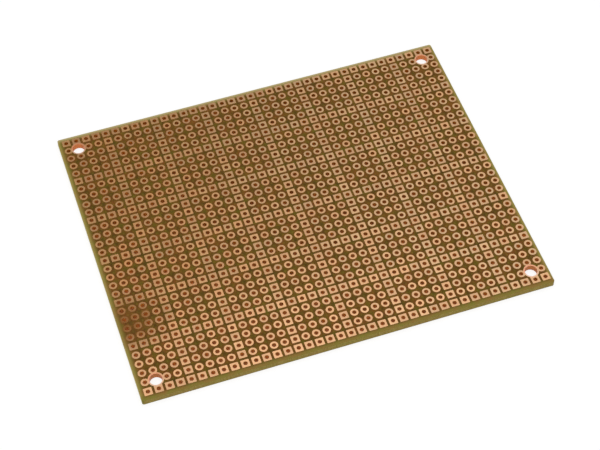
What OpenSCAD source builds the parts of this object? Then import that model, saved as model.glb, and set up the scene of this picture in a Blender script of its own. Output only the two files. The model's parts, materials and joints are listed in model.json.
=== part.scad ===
// Bare prototype board: a glass-epoxy laminate drilled on a square grid, with a plated copper
// pad through every hole and four plated mounting holes. It lies flat, copper lands up and down.
// Origin: centre of the outline, at the underside of the lower lands. +X runs along the length.

/* [Board] */
// Length of the board along X
board_length = 100; // [40:1:130]
// Width of the board along Y
board_width = 80; // [40:1:110]
// Thickness over the copper lands of both faces
board_thickness = 1.6; // [0.8:0.1:3.2]
// Radius of the four corners of the outline
corner_radius = 0.5; // [0.1:0.1:3]

/* [Hole grid] */
// Distance from hole to hole
pitch = 2.54; // [2.2:0.01:5.08]
// Least distance from the middle of an outer hole to the edge, on a grid that sits centrally
edge_margin = 1.5; // [1.5:0.1:6]
// How far the drilled grid sits off the middle of the board along X
grid_shift_x = 0.2; // [-0.25:0.05:0.25]
// How far the drilled grid sits off the middle of the board along Y
grid_shift_y = 0.15; // [-0.25:0.05:0.25]
// Diameter of a finished lead hole, inside its plating
lead_hole_diameter = 1; // [0.7:0.05:1.2]

/* [Copper] */
// Diameter of a round land
round_land_diameter = 1.95; // [1.5:0.05:2.1]
// Side of a square land
square_land_side = 1.95; // [1.5:0.05:2.1]
// Radius that etching leaves on the corners of a square land
square_land_corner_radius = 0.1; // [0.05:0.05:0.5]
// Every how many rows and columns, counted from the middle ones, the lands are square
square_land_interval = 5; // [2:1:10]
// Thickness of the copper on each face
land_thickness = 0.05; // [0.02:0.01:0.1]
// Thickness of the copper on the wall of a hole
plating_thickness = 0.03; // [0.02:0.01:0.05]

/* [Mounting holes] */
// Diameter of a finished mounting hole, inside its plating
mounting_hole_diameter = 3; // [2.2:0.1:4]
// Width of the copper rim around a mounting hole
mounting_rim_width = 0.35; // [0.1:0.05:1]
// How many grid places a mounting hole lies in from the outermost rows and columns
mounting_inset = 1; // [1:1:4]
// Least laminate left between a mounting hole and the nearest lead hole
mounting_web = 0.2; // [0.1:0.05:1]

/* [Hidden] */
$fn = 48;
OVERCUT = 1;  // how far a cutting shape runs past each face

laminate_thickness = board_thickness - 2 * land_thickness;
laminate_top = board_thickness - land_thickness;

lead_hole_radius = lead_hole_diameter / 2;
lead_drill_radius = lead_hole_radius + plating_thickness;
mounting_hole_radius = mounting_hole_diameter / 2;
mounting_drill_radius = mounting_hole_radius + plating_thickness;
mounting_rim_radius = mounting_hole_radius + mounting_rim_width;

// The grid fills the board: as many holes each way as the margins allow.
columns = floor((board_length - 2 * edge_margin) / pitch) + 1;
rows = floor((board_width - 2 * edge_margin) / pitch) + 1;
middle_column = floor(columns / 2);
middle_row = floor(rows / 2);
grid_corner = [
    grid_shift_x - (columns - 1) * pitch / 2,
    grid_shift_y - (rows - 1) * pitch / 2
];

// A mounting hole takes the grid place it stands on, and any other place too close to it.
mounting_columns = [mounting_inset, columns - 1 - mounting_inset];
mounting_rows = [mounting_inset, rows - 1 - mounting_inset];
mounting_keepout = mounting_drill_radius + mounting_web + lead_drill_radius;
mounting_holes = [for (r = mounting_rows) for (c = mounting_columns) place(c, r)];
MOUNTING_NAMES = [
    "mounting_pad_front_left", "mounting_pad_front_right",
    "mounting_pad_rear_left", "mounting_pad_rear_right"
];

// A lead hole's place in the grid is [column, row], counted from the front left corner.
lead_holes = [
    for (r = [0 : rows - 1])
        for (c = [0 : columns - 1])
            if (min([for (m = mounting_holes) norm(place(c, r) - m)]) >= mounting_keepout) [c, r]
];

function place(column, row) = grid_corner + pitch * [column, row];

function row_name(row) = str("pad_row_", row < 9 ? "0" : "", row + 1);

function has_square_land(column, row) =
    (column - middle_column) % square_land_interval == 0
    || (row - middle_row) % square_land_interval == 0;

// Distance from a point to the nearest edge of a land
function distance_to_land(point, column, row) =
    let (
        offset = place(column, row) - point,
        straight = square_land_side / 2 - square_land_corner_radius
    )
    has_square_land(column, row)
        ? norm([max(abs(offset.x) - straight, 0), max(abs(offset.y) - straight, 0)])
            - square_land_corner_radius
        : norm(offset) - round_land_diameter / 2;

function touches_rim(column, row, mounting_hole) =
    distance_to_land(mounting_hole, column, row) < mounting_rim_radius;

// The lead holes of one row whose copper stands by itself
function separate_holes(row) = [
    for (hole = lead_holes)
        if (hole.y == row && !touches_any_rim(hole.x, row)) hole
];

function touches_any_rim(column, row) =
    len([for (m = mounting_holes) if (touches_rim(column, row, m)) m]) > 0;

// The lead holes whose lands run into the rim of one mounting hole
function joined_holes(mounting_hole) =
    [for (hole = lead_holes) if (touches_rim(hole.x, hole.y, mounting_hole)) hole];

module rounded_rectangle(length, width, radius) {
    square([length - 2 * radius, width], center = true);
    square([length, width - 2 * radius], center = true);
    for (x = [-1, 1], y = [-1, 1])
        translate([x * (length / 2 - radius), y * (width / 2 - radius)]) circle(r = radius);
}

// The glass-epoxy laminate, drilled to take the plating of every hole
module substrate() {
    color([0.43, 0.36, 0.16])
        translate([0, 0, land_thickness])
            linear_extrude(laminate_thickness)
                difference() {
                    rounded_rectangle(board_length, board_width, corner_radius);
                    for (hole = lead_holes)
                        translate(place(hole.x, hole.y)) circle(r = lead_drill_radius);
                    for (m = mounting_holes)
                        translate(m) circle(r = mounting_drill_radius);
                }
}

// Outline of the land around a lead hole, without its hole
module land_outline(column, row) {
    translate(place(column, row))
        if (has_square_land(column, row))
            rounded_rectangle(square_land_side, square_land_side, square_land_corner_radius);
        else
            circle(d = round_land_diameter);
}

// Copper on both faces and through the laminate: 2D children are the lands, then the barrels,
// then what is bored out of both
module plated_copper() {
    difference() {
        union() {
            for (z = [0, laminate_top])
                translate([0, 0, z]) linear_extrude(land_thickness) children(0);
            linear_extrude(board_thickness) children(1);
        }
        translate([0, 0, -OVERCUT])
            linear_extrude(board_thickness + 2 * OVERCUT) children(2);
    }
}

// One pad: a land on each face, joined by the plated barrel of its hole
module plated_pad(column, row) {
    plated_copper() {
        land_outline(column, row);
        translate(place(column, row)) circle(r = lead_drill_radius);
        translate(place(column, row)) circle(r = lead_hole_radius);
    }
}

// A row of pads, each a piece of copper by itself
module pad_row(row) {
    color([0.78, 0.6, 0.44])
        for (hole = separate_holes(row))
            plated_pad(hole.x, hole.y);
}

// The lining and rims of a mounting hole, in one piece with the pads that they run into
module mounting_pad(mounting_hole) {
    holes = joined_holes(mounting_hole);
    color([0.74, 0.52, 0.34])
        plated_copper() {
            union() {
                translate(mounting_hole) circle(r = mounting_rim_radius);
                for (hole = holes)
                    land_outline(hole.x, hole.y);
            }
            union() {
                translate(mounting_hole) circle(r = mounting_drill_radius);
                for (hole = holes)
                    translate(place(hole.x, hole.y)) circle(r = lead_drill_radius);
            }
            union() {
                translate(mounting_hole) circle(r = mounting_hole_radius);
                for (hole = holes)
                    translate(place(hole.x, hole.y)) circle(r = lead_hole_radius);
            }
        }
}

substrate();
for (row = [0 : rows - 1])
    pad_row(row);
for (i = [0 : len(mounting_holes) - 1])
    mounting_pad(mounting_holes[i]);
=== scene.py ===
import json
import math

import bpy
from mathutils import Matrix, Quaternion, Vector


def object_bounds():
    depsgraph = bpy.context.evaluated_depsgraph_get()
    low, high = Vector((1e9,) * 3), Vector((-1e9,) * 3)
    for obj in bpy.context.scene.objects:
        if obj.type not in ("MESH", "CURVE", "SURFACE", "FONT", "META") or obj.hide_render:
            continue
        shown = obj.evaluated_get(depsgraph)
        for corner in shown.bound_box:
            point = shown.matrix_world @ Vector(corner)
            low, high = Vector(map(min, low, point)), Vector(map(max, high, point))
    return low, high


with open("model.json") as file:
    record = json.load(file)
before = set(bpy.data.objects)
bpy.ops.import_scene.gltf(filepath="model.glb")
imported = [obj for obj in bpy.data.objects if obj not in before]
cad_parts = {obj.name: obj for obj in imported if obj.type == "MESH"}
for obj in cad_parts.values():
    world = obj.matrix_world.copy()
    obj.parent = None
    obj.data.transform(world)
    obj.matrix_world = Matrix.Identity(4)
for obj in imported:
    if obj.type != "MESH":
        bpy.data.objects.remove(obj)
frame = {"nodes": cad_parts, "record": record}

cad_low, cad_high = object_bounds()


# Substrate
# One sheet of woven glass cloth pressed in epoxy, drilled, sawn to size and left bare, with no mask.
# It is olive brown between the copper, and painted light makes it paler along its edges, where light gets
# in from the side.

MM = 0.001


def srgb(red, green, blue):
    """The linear colour that a shader takes for a colour given as on a paint chart, 0 to 255."""
    linear = []
    for level in (red / 255, green / 255, blue / 255):
        linear.append(level / 12.92 if level <= 0.04045 else ((level + 0.055) / 1.055) ** 2.4)
    return (*linear, 1.0)


def new_material(name):
    """A new material, its node tree and its shader."""
    made = bpy.data.materials.new(name)
    made.use_nodes = True
    return made, made.node_tree, made.node_tree.nodes["Principled BSDF"]


def feed(tree, socket, value):
    """Wires another node's output into a socket, or sets the socket to a plain value."""
    if isinstance(value, bpy.types.NodeSocket):
        tree.links.new(value, socket)
    else:
        socket.default_value = value


def calculate(tree, operation, *values):
    """A Math node over the given outputs or numbers."""
    made = tree.nodes.new("ShaderNodeMath")
    made.operation = operation
    for socket, value in zip(made.inputs, values):
        feed(tree, socket, value)
    return made.outputs[0]


def ramp(tree, value, low, high, low_to=0.0, high_to=1.0):
    """A smooth step from low_to to high_to, as a value goes from low to high."""
    made = tree.nodes.new("ShaderNodeMapRange")
    made.interpolation_type = "SMOOTHSTEP"
    for socket, given in zip(made.inputs, (value, low, high, low_to, high_to)):
        feed(tree, socket, given)
    return made.outputs[0]


def mix(tree, factor, first, second):
    """The colour between two others."""
    made = tree.nodes.new("ShaderNodeMix")
    made.data_type = "RGBA"
    for index, value in ((0, factor), (6, first), (7, second)):
        feed(tree, made.inputs[index], value)
    return made.outputs[2]


def vector(tree, x, y, z=0.0):
    """A vector made of three outputs or numbers."""
    made = tree.nodes.new("ShaderNodeCombineXYZ")
    for socket, value in zip(made.inputs, (x, y, z)):
        feed(tree, socket, value)
    return made.outputs[0]


def noise(tree, place, scale, detail=2.0):
    """Soft noise from 0 to 1 over a place, with features of about 1 / scale metres."""
    made = tree.nodes.new("ShaderNodeTexNoise")
    feed(tree, made.inputs["Vector"], place)
    made.inputs["Scale"].default_value = scale
    made.inputs["Detail"].default_value = detail
    return made.outputs[0]


def object_place(tree):
    """The object's own coordinates, whole and as x, y and z."""
    place = tree.nodes.new("ShaderNodeTexCoord").outputs["Object"]
    split = tree.nodes.new("ShaderNodeSeparateXYZ")
    tree.links.new(place, split.inputs[0])
    return place, *split.outputs


def bump(tree, height, depth):
    """A normal for a height from 0 to 1 over the given depth in metres."""
    made = tree.nodes.new("ShaderNodeBump")
    made.inputs["Distance"].default_value = depth
    feed(tree, made.inputs["Height"], height)
    return made.outputs[0]


def length_of(tree, *values):
    """The length of a flat vector."""
    squares = [calculate(tree, "MULTIPLY", value, value) for value in values]
    return calculate(tree, "SQRT", calculate(tree, "ADD", *squares))


def mount(name):
    """A mount of the record, by its name."""
    return next(m for m in frame["record"]["mounts"] if m["name"] == name)


GRID_CENTRE = Vector(mount("mounting_holes")["pos_m"])
PITCH = 2.54 * MM


def grid_place(tree, x, y):
    """The place on the board counted from the grid's centre, the number of the nearest hole, and the
    distance from that hole's axis."""
    across = [
        calculate(tree, "SUBTRACT", x, GRID_CENTRE.x),
        calculate(tree, "SUBTRACT", y, GRID_CENTRE.y),
    ]
    cell = [calculate(tree, "ROUND", calculate(tree, "DIVIDE", value, PITCH)) for value in across]
    own = []
    for number, value in zip(cell, across):
        own.append(calculate(tree, "MULTIPLY_ADD", number, -PITCH, value))
    return across, cell, length_of(tree, *own)


# An old stain of flux, at the left edge
STAIN_PLACE = Vector((-49.5, -18.7)) * MM
STAIN_REACH = Vector((9.0, 6.5)) * MM


def stained(tree, place, x, y, z):
    """Nearly 1 in the middle of the stain on the upper face, and 0 away from it."""
    along = []
    for value, middle, reach in zip((x, y), STAIN_PLACE, STAIN_REACH):
        along.append(calculate(tree, "DIVIDE", calculate(tree, "SUBTRACT", value, middle), reach))
    ragged = calculate(tree, "MULTIPLY_ADD", noise(tree, place, 350.0), 0.7, length_of(tree, *along))
    upper = ramp(tree, z, 0.4 * MM, 1.4 * MM, 0.0, 0.95)
    return calculate(tree, "MULTIPLY", ramp(tree, ragged, 0.45, 2.0, 1.0, 0.0), upper)


WARP_PITCH = 0.58 * MM
WEFT_PITCH = 0.79 * MM
PLY_THICKNESS = 0.19 * MM
CLOTH_RELIEF = 0.006 * MM
SAW_CUT_DEPTH = 0.02 * MM

OLIVE_RESIN = srgb(98, 90, 12)
BROWN_RESIN = srgb(126, 71, 22)
DARK_RESIN = srgb(76, 56, 4)
PAINTED_SHADE_BY_LAND = srgb(126, 60, 10)
YARN = srgb(124, 100, 26)
BETWEEN_YARNS = srgb(72, 50, 12)
PALE_FIBRE = srgb(148, 122, 56)
OLIVE_MARGIN = srgb(131, 124, 50)
BROWN_MARGIN = srgb(145, 115, 56)
GLOWING_EDGE = srgb(180, 162, 92)
GLOWING_REAR = srgb(192, 175, 124)
OLIVE_CUT = srgb(142, 130, 54)
BROWN_CUT = srgb(152, 120, 64)
SCORED_CUT = srgb(164, 146, 80)
GLOWING_LEFT_CUT = srgb(236, 220, 150)
STAINED_LAMINATE = srgb(122, 76, 34)


def laminate_material():
    made, tree, shader = new_material("glass_epoxy")
    place, x, y, z = object_place(tree)

    to_side = calculate(tree, "SUBTRACT", cad_high.x, calculate(tree, "ABSOLUTE", x))
    to_end = calculate(tree, "SUBTRACT", cad_high.y, calculate(tree, "ABSOLUTE", y))
    to_edge = calculate(tree, "MINIMUM", to_side, to_end)
    on_saw_cut = ramp(tree, to_edge, 0.0, SAW_CUT_DEPTH, 1.0, 0.0)

    # Plain weave: where the warp lies over the weft the yarn runs along Y, and elsewhere along X.
    warp = calculate(tree, "COSINE", calculate(tree, "MULTIPLY", x, math.pi / WARP_PITCH))
    weft = calculate(tree, "COSINE", calculate(tree, "MULTIPLY", y, math.pi / WEFT_PITCH))
    crossing = calculate(tree, "MULTIPLY", warp, weft)
    weave = ramp(tree, crossing, -0.5, 0.5)
    between_yarns = ramp(tree, calculate(tree, "ABSOLUTE", crossing), 0.0, 0.45, 1.0, 0.0)
    along_y = noise(tree, vector(tree, x, calculate(tree, "MULTIPLY", y, 0.08)), 14000.0, 1.0)
    along_x = noise(tree, vector(tree, calculate(tree, "MULTIPLY", x, 0.08), y), 14000.0, 1.0)
    fibres = mix(tree, weave, along_x, along_y)

    # The resin is cloudy, and a painted reddish shade and reflection of the copper lie round each land.
    cloudy = ramp(tree, noise(tree, place, 420.0, 3.0), 0.3, 0.7)
    resin = mix(tree, cloudy, OLIVE_RESIN, BROWN_RESIN)
    blotched = ramp(tree, noise(tree, vector(tree, y, x, z), 520.0, 2.0), 0.3, 0.7, 0.0, 0.95)
    resin = mix(tree, blotched, resin, DARK_RESIN)
    land_shade = ramp(tree, grid_place(tree, x, y)[2], 0.95 * MM, 1.6 * MM, 0.5, 0.0)
    resin = mix(tree, land_shade, resin, PAINTED_SHADE_BY_LAND)
    cloth = mix(tree, calculate(tree, "MULTIPLY", weave, 0.3), resin, YARN)
    cloth = mix(tree, calculate(tree, "MULTIPLY", between_yarns, 0.3), cloth, BETWEEN_YARNS)
    cloth = mix(tree, ramp(tree, fibres, 0.5, 0.75, 0.0, 0.35), cloth, PALE_FIBRE)

    # Painted light: the margin is paler where light enters at the cut edges, least at the front and most
    # at the rear.
    from_front = calculate(tree, "SUBTRACT", y, cad_low.y)
    from_rear = calculate(tree, "SUBTRACT", cad_high.y, y)
    margin = ramp(tree, to_edge, 0.2 * MM, 1.6 * MM, 0.9, 0.0)
    colour = mix(tree, margin, cloth, mix(tree, cloudy, OLIVE_MARGIN, BROWN_MARGIN))
    rear = ramp(tree, from_rear, 0.3 * MM, 1.4 * MM, 1.0, 0.0)
    glowing = ramp(tree, to_edge, 0.1 * MM, 0.8 * MM, 0.4, 0.0)
    glowing = calculate(tree, "MULTIPLY_ADD", rear, 0.45, glowing)
    glowing = calculate(tree, "MULTIPLY", glowing, ramp(tree, from_front, 0.1 * MM, 2.0 * MM))
    colour = mix(tree, glowing, colour, mix(tree, rear, GLOWING_EDGE, GLOWING_REAR))

    # The saw left upright scores across the plies, and a painted glow of light let through lies on the
    # cut at the left.
    plies = calculate(tree, "COSINE", calculate(tree, "MULTIPLY", z, 2 * math.pi / PLY_THICKNESS))
    saw_scores = noise(tree, vector(tree, x, y, calculate(tree, "MULTIPLY", z, 0.1)), 5000.0, 2.0)
    scored = calculate(tree, "MULTIPLY_ADD", plies, 0.35, ramp(tree, saw_scores, 0.3, 0.7))
    along_edge = [calculate(tree, "MULTIPLY", value, 0.1) for value in (x, y)]
    streaked = ramp(tree, noise(tree, vector(tree, *along_edge, z), 1300.0, 2.0), 0.35, 0.65)
    sawn = mix(tree, scored, mix(tree, streaked, OLIVE_CUT, BROWN_CUT), SCORED_CUT)
    from_left = calculate(tree, "SUBTRACT", x, cad_low.x)
    sawn = mix(tree, ramp(tree, from_left, 0.0, 0.1 * MM, 0.6, 0.0), sawn, GLOWING_LEFT_CUT)
    colour = mix(tree, on_saw_cut, colour, sawn)

    spoilt = calculate(tree, "MULTIPLY", stained(tree, place, x, y, z), 0.25)
    colour = mix(tree, spoilt, colour, STAINED_LAMINATE)
    feed(tree, shader.inputs["Base Color"], colour)

    dull = ramp(tree, noise(tree, place, 900.0), 0.2, 0.8, 0.45, 0.6)
    feed(tree, shader.inputs["Roughness"], calculate(tree, "MULTIPLY_ADD", on_saw_cut, 0.25, dull))
    shader.inputs["Specular IOR Level"].default_value = 0.1
    height = calculate(tree, "ADD", weave, calculate(tree, "MULTIPLY", fibres, 0.4))
    height = calculate(tree, "MULTIPLY_ADD", calculate(tree, "MULTIPLY", scored, on_saw_cut), 2.0, height)
    feed(tree, shader.inputs["Normal"], bump(tree, height, CLOTH_RELIEF))
    return made


substrate = frame["nodes"]["substrate"]
substrate.data.materials.clear()
substrate.data.materials.append(laminate_material())


# Plated pads
# A square or round land of bare copper on each face, joined by the copper plated down the hole.
# The foil is etched to shape and scrubbed, so it is dull and pinkish. The plating in the holes isn't
# scrubbed, and it is redder.

HOLE_RADIUS = mount("lead_hole")["dims"]["r_mm"] * MM
MOUTH_WIDTH = 0.12 * MM
SCRUB_DEPTH = 0.002 * MM

PINK_LAND = srgb(188, 140, 91)
PALE_LAND = srgb(181, 147, 103)
LEFT_PINK_LAND = srgb(198, 136, 75)
LEFT_PALE_LAND = srgb(187, 141, 83)
PAINTED_REAR_SHADE = srgb(178, 126, 40)
PAINTED_FRONT_HIGHLIGHT = srgb(216, 163, 113)
DARK_LAND = srgb(126, 94, 66)
TARNISH = srgb(157, 105, 68)
DARK_SCRUB_MARK = srgb(150, 110, 76)
PALE_SCRUB_MARK = srgb(198, 160, 119)
MOUTH = srgb(158, 102, 46)
STAINED_COPPER = srgb(122, 81, 41)
DARKER_PLATING = srgb(153, 88, 5)
PAINTED_LIT_PLATING = srgb(220, 142, 46)
CLOUDED_PLATING = srgb(174, 97, 16)
PAINTED_UPLIT_PLATING = srgb(255, 182, 96)


def copper_material(name):
    """Returns the material, its tree, its shader and what each further finish on the copper needs."""
    made, tree, shader = new_material(name)
    place, x, y, z = object_place(tree)

    # Every pad has a tint, a dullness and a darkness of its own.
    across, cell, from_hole = grid_place(tree, x, y)
    chance = tree.nodes.new("ShaderNodeTexWhiteNoise")
    feed(tree, chance.inputs["Vector"], vector(tree, *cell))
    by_pad = tree.nodes.new("ShaderNodeSeparateColor")
    tree.links.new(chance.outputs["Color"], by_pad.inputs[0])
    tint, dullness, darkness = by_pad.outputs

    # The copper is redder towards the left edge of the board. A painted shade darkens and yellows it
    # towards the rear, and a painted highlight brightens it along the front, most towards the left.
    right_tint = mix(tree, tint, PINK_LAND, PALE_LAND)
    left_tint = mix(tree, tint, LEFT_PINK_LAND, LEFT_PALE_LAND)
    scrubbed = mix(tree, ramp(tree, x, -50 * MM, 20 * MM), left_tint, right_tint)
    scrubbed = mix(tree, ramp(tree, y, -30 * MM, 40 * MM, 0.0, 0.14), scrubbed, PAINTED_REAR_SHADE)
    to_left = ramp(tree, x, 46 * MM, -20 * MM, 0.0, 0.95)
    front_highlight = calculate(tree, "MULTIPLY", ramp(tree, y, -8 * MM, -42 * MM), to_left)
    scrubbed = mix(tree, front_highlight, scrubbed, PAINTED_FRONT_HIGHLIGHT)
    scrubbed = mix(tree, calculate(tree, "MULTIPLY", darkness, 0.34), scrubbed, DARK_LAND)

    # It has tarnished in spots, and the scrubbing left fine marks along X.
    tarnish = ramp(tree, noise(tree, place, 2200.0, 3.0), 0.45, 0.8, 0.0, 0.3)
    scrubbed = mix(tree, tarnish, scrubbed, TARNISH)
    scrub = noise(tree, vector(tree, calculate(tree, "MULTIPLY", x, 0.06), y, z), 26000.0, 2.0)
    scrubbed = mix(tree, ramp(tree, scrub, 0.5, 0.75, 0.0, 0.35), scrubbed, DARK_SCRUB_MARK)
    scrubbed = mix(tree, ramp(tree, scrub, 0.25, 0.5, 0.35, 0.0), scrubbed, PALE_SCRUB_MARK)
    mouth = ramp(tree, from_hole, HOLE_RADIUS, HOLE_RADIUS + MOUTH_WIDTH, 0.6, 0.0)
    scrubbed = mix(tree, mouth, scrubbed, MOUTH)

    # Each hole's plating has a tone of its own, and painted light brightens it towards the front left
    # corner and makes it palest in the lower half of the hole.
    tone_and_light = ramp(tree, y, 15 * MM, -40 * MM, 0.0, 0.55)
    tone_and_light = calculate(tree, "MULTIPLY_ADD", darkness, 0.6, tone_and_light)
    tone_and_light = calculate(tree, "ADD", tone_and_light, ramp(tree, x, 0.0, -50 * MM, -0.2, 0.2))
    plating = mix(tree, tone_and_light, DARKER_PLATING, PAINTED_LIT_PLATING)
    clouded = ramp(tree, noise(tree, place, 1500.0), 0.3, 0.7, 0.0, 0.6)
    plating = mix(tree, clouded, plating, CLOUDED_PLATING)
    # Painted light from below makes the lower half of each hole palest.
    plating = mix(tree, ramp(tree, z, 0.95 * MM, 0.4 * MM, 0.0, 0.75), plating, PAINTED_UPLIT_PLATING)

    depth = calculate(tree, "MINIMUM", z, calculate(tree, "SUBTRACT", cad_high.z, z))
    down_hole = ramp(tree, depth, 0.0, 0.12 * MM)
    spoilt = stained(tree, place, x, y, z)
    colour = mix(tree, down_hole, mix(tree, spoilt, scrubbed, STAINED_COPPER), plating)
    feed(tree, shader.inputs["Base Color"], colour)

    metal = calculate(tree, "SUBTRACT", 1.0, down_hole)
    feed(tree, shader.inputs["Metallic"], metal)
    shader.inputs["Specular IOR Level"].default_value = 0.05
    dull = ramp(tree, scrub, 0.2, 0.8, 0.25, 0.31)
    feed(tree, shader.inputs["Roughness"], calculate(tree, "MULTIPLY_ADD", dullness, 0.06, dull))
    clear = calculate(tree, "SUBTRACT", 1.0, calculate(tree, "MAXIMUM", down_hole, spoilt))
    feed(tree, shader.inputs["Coat Weight"], clear)
    shader.inputs["Coat Roughness"].default_value = 0.25
    feed(tree, shader.inputs["Normal"], bump(tree, scrub, SCRUB_DEPTH))
    return made, tree, shader, across, colour, down_hole, metal


copper = copper_material("bare_copper")[0]
for name, obj in frame["nodes"].items():
    if name.startswith("pad_row"):
        obj.data.materials.clear()
        obj.data.materials.append(copper)


# Mounting pads
# The lining and the rims of each corner hole, in one piece with the four pads that the rims run into.
# They are plated with the rest of the copper. The lining is browner, and a painted highlight brightens
# its lips.

MOUNTING_HOLE = mount("mounting_holes")["dims"]
MOUNTING_RADIUS = MOUNTING_HOLE["hole_r_mm"] * MM
SPACINGS = MOUNTING_HOLE["spacing_x_mm"] * MM, MOUNTING_HOLE["spacing_y_mm"] * MM
LIP_WIDTH = 0.5 * MM

FRONT_LIP_HIGHLIGHT = srgb(228, 186, 160)
REAR_LIP_HIGHLIGHT = srgb(230, 144, 104)
PALE_LINING = srgb(226, 148, 88)
WORN_LINING = srgb(196, 132, 82)
REAR_LINING = srgb(250, 164, 100)


def mounting_material():
    made, tree, shader, across, colour, down_hole, metal = copper_material("mounting_copper")
    to_centre = []
    for value, spacing in zip(across, SPACINGS):
        side = calculate(tree, "SIGN", value)
        to_centre.append(calculate(tree, "MULTIPLY_ADD", side, -spacing / 2, value))
    from_hole = length_of(tree, *to_centre)

    # A painted highlight lies along the lip, palest at its front and weakest at its right.
    lip_highlight = ramp(tree, from_hole, MOUNTING_RADIUS, MOUNTING_RADIUS + LIP_WIDTH, 0.8, 0.0)
    lip_highlight = calculate(tree, "MULTIPLY", lip_highlight, ramp(tree, to_centre[0], 0.5 * MM, 1.6 * MM, 1.0, 0.5))
    to_back = ramp(tree, to_centre[1], -1.0 * MM, 0.5 * MM)
    colour = mix(tree, lip_highlight, colour, mix(tree, to_back, FRONT_LIP_HIGHLIGHT, REAR_LIP_HIGHLIGHT))

    # The linings at the rear of the board are the paler ones.
    lining = ramp(tree, from_hole, MOUNTING_RADIUS + 0.01 * MM, MOUNTING_RADIUS + 0.02 * MM, 1.0, 0.0)
    worn = noise(tree, object_place(tree)[0], 900.0, 3.0)
    lining_colour = mix(tree, worn, PALE_LINING, WORN_LINING)
    to_rear = ramp(tree, across[1], -30 * MM, 30 * MM, 0.0, 0.5)
    lining_colour = mix(tree, to_rear, lining_colour, REAR_LINING)
    colour = mix(tree, calculate(tree, "MULTIPLY", lining, down_hole), colour, lining_colour)
    feed(tree, shader.inputs["Base Color"], colour)
    feed(tree, shader.inputs["Metallic"], calculate(tree, "MULTIPLY_ADD", lip_highlight, -0.8, metal))
    return made


mounting_copper = mounting_material()
for name, obj in frame["nodes"].items():
    if name.startswith("mounting_pad"):
        obj.data.materials.clear()
        obj.data.materials.append(mounting_copper)


# Table, lamps and camera
# The board lies on a plain white table in an even pale room, under a broad soft lamp overhead,
# with one behind it to the right and one in front of it to the left.

def sight_lines(tree):
    """1 for a ray straight from the camera, and 1 for a ray that metal or glass has turned."""
    path = tree.nodes.new("ShaderNodeLightPath").outputs
    turned = calculate(tree, "MAXIMUM", path["Is Glossy Ray"], path["Is Transmission Ray"])
    return path["Is Camera Ray"], turned


TABLE_RADIUS = 1.5
# Just clear of the lower lands
TABLE_Z = -0.02 * MM

bpy.ops.mesh.primitive_circle_add(vertices=96, radius=TABLE_RADIUS, fill_type="NGON")
table = bpy.context.object
table.name = "table"
table_material, tree, shader = new_material("white_table")
shader.inputs["Base Color"].default_value = (0.8, 0.8, 0.8, 1)
shader.inputs["Roughness"].default_value = 0.8
shader.inputs["Specular IOR Level"].default_value = 0.1
seen = calculate(tree, "MAXIMUM", *sight_lines(tree))
pale = tree.nodes.new("ShaderNodeBsdfDiffuse")
pale.inputs["Color"].default_value = (0.25, 0.25, 0.25, 1)
glow = tree.nodes.new("ShaderNodeEmission")
# Far from the lamps the table glows more, so that it stays as pale there.
from_middle = length_of(tree, *object_place(tree)[1:3])
feed(tree, glow.inputs["Strength"], ramp(tree, from_middle, 0.15, 1.0, 0.8, 0.95))
both = tree.nodes.new("ShaderNodeAddShader")
tree.links.new(pale.outputs[0], both.inputs[0])
tree.links.new(glow.outputs[0], both.inputs[1])
choice = tree.nodes.new("ShaderNodeMixShader")
tree.links.new(seen, choice.inputs[0])
tree.links.new(shader.outputs[0], choice.inputs[1])
tree.links.new(both.outputs[0], choice.inputs[2])
tree.links.new(choice.outputs[0], tree.nodes["Material Output"].inputs["Surface"])
table.data.materials.append(table_material)
table.location.z = TABLE_Z

LIGHT_FROM_ROOM = 0.47
WALLS_IN_METAL = 1.0
CEILING_IN_METAL = 0.65

world = bpy.data.worlds.new("room")
bpy.context.scene.world = world
world.use_nodes = True
tree = world.node_tree
room = tree.nodes["Background"]
# Metal mirrors white walls low down, where the eye sees them too, and a dimmer ceiling above them.
straight, turned = sight_lines(tree)
steepness = object_place(tree)[3]
mirrored = ramp(tree, steepness, 0.35, 0.65, WALLS_IN_METAL, CEILING_IN_METAL)
otherwise = ramp(tree, turned, 0.0, 1.0, LIGHT_FROM_ROOM, mirrored)
feed(tree, room.inputs["Strength"], calculate(tree, "MAXIMUM", straight, otherwise))
room.inputs["Color"].default_value = (1, 1, 1, 1)


def soft_lamp(name, place, size, power):
    """A square lamp at a place in metres, which faces the middle of the board."""
    lamp = bpy.data.lights.new(name, "AREA")
    lamp.shape = "SQUARE"
    lamp.size = size
    lamp.energy = power
    holder = bpy.data.objects.new(name, lamp)
    bpy.context.scene.collection.objects.link(holder)
    holder.location = place
    holder.rotation_mode = "QUATERNION"
    holder.rotation_quaternion = Vector(place).to_track_quat("Z", "Y")


soft_lamp("overhead_lamp", place=(0, 0, 0.41), size=0.5, power=0.61)
soft_lamp("rear_lamp", place=(0.295, 0.421, 0.613), size=0.4, power=0.35)
soft_lamp("front_lamp", place=(-0.22, -0.604, 0.766), size=1.2, power=2.53)

CAMERA_AZIMUTH = math.radians(-17.95)
CAMERA_ELEVATION = math.radians(52.97)
CAMERA_ROLL = math.radians(-0.9)
CAMERA_DISTANCE = 400 * MM
CAMERA_AIM = GRID_CENTRE + Vector((-1.24, -5.05, 0)) * MM

camera = bpy.data.objects.new("camera", bpy.data.cameras.new("camera"))
bpy.context.scene.collection.objects.link(camera)
back = Vector((
    math.sin(CAMERA_AZIMUTH) * math.cos(CAMERA_ELEVATION),
    -math.cos(CAMERA_AZIMUTH) * math.cos(CAMERA_ELEVATION),
    math.sin(CAMERA_ELEVATION),
))
camera.location = CAMERA_AIM + back * CAMERA_DISTANCE
camera.rotation_mode = "QUATERNION"
camera.rotation_quaternion = (-back).to_track_quat("-Z", "Y") @ Quaternion((0, 0, 1), CAMERA_ROLL)
camera.data.sensor_width = 36
camera.data.lens = 100
camera.data.clip_start = 0.01
bpy.context.scene.camera = camera
bpy.context.scene.view_settings.view_transform = "Standard"
